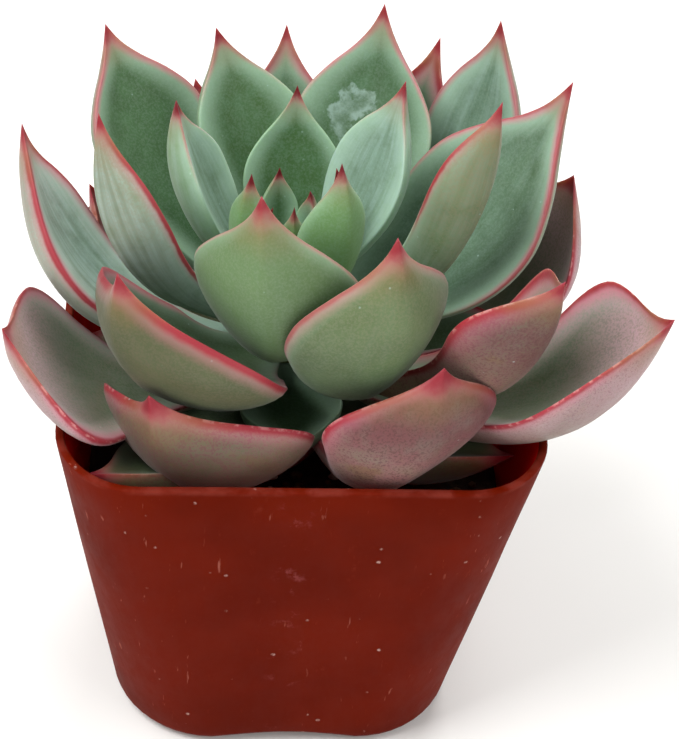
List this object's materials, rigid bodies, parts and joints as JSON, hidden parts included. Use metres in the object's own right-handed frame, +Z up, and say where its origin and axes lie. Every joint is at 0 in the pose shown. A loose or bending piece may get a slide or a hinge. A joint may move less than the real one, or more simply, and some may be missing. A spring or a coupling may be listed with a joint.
{
  "type": "potted echeveria",
  "caption": "Fleshy rosette succulent with red, pointed leaf tips in a small square tapered nursery pot of terracotta-coloured plastic.",
  "frame": {"origin": "middle of the underside of the whole object's box, on the plane that the pot's feet rest on", "axes": "+Z up, -Y the front of the plant, where the pot's front wall faces"},
  "size_m": [0.078, 0.0672, 0.0937],
  "materials": {
    "pot_plastic": "satin",
    "soil": "matte",
    "stem": "matte",
    "leaf_dark": "satin",
    "leaf_outer": "satin",
    "leaf_heart": "satin"
  },
  "bodies": {
    "root": {"pot": "pot_plastic", "soil": "soil", "stem": "stem", "leaf_01": "leaf_dark", "leaf_02": "leaf_dark", "leaf_03": "leaf_dark", "leaf_04": "leaf_dark", "leaf_05": "leaf_dark", "leaf_06": "leaf_dark", "leaf_07": "leaf_dark", "leaf_08": "leaf_outer", "leaf_09": "leaf_outer", "leaf_10": "leaf_dark", "leaf_11": "leaf_dark", "leaf_12": "leaf_outer", "leaf_13": "leaf_outer", "leaf_14": "leaf_outer", "leaf_15": "leaf_outer", "leaf_16": "leaf_outer", "leaf_17": "leaf_dark", "leaf_18": "leaf_outer", "leaf_19": "leaf_outer", "leaf_20": "leaf_outer", "leaf_21": "leaf_outer", "leaf_22": "leaf_outer", "leaf_23": "leaf_outer", "leaf_24": "leaf_outer", "leaf_25": "leaf_outer", "leaf_26": "leaf_outer", "leaf_27": "leaf_outer", "leaf_28": "leaf_outer", "leaf_29": "leaf_outer", "leaf_30": "leaf_heart", "leaf_31": "leaf_heart", "leaf_32": "leaf_heart", "leaf_33": "leaf_heart", "leaf_34": "leaf_heart", "leaf_35": "leaf_heart", "leaf_36": "leaf_heart", "leaf_37": "leaf_heart", "leaf_38": "leaf_heart", "leaf_39": "leaf_heart", "leaf_40": "leaf_heart"}
  },
  "joints": []
}
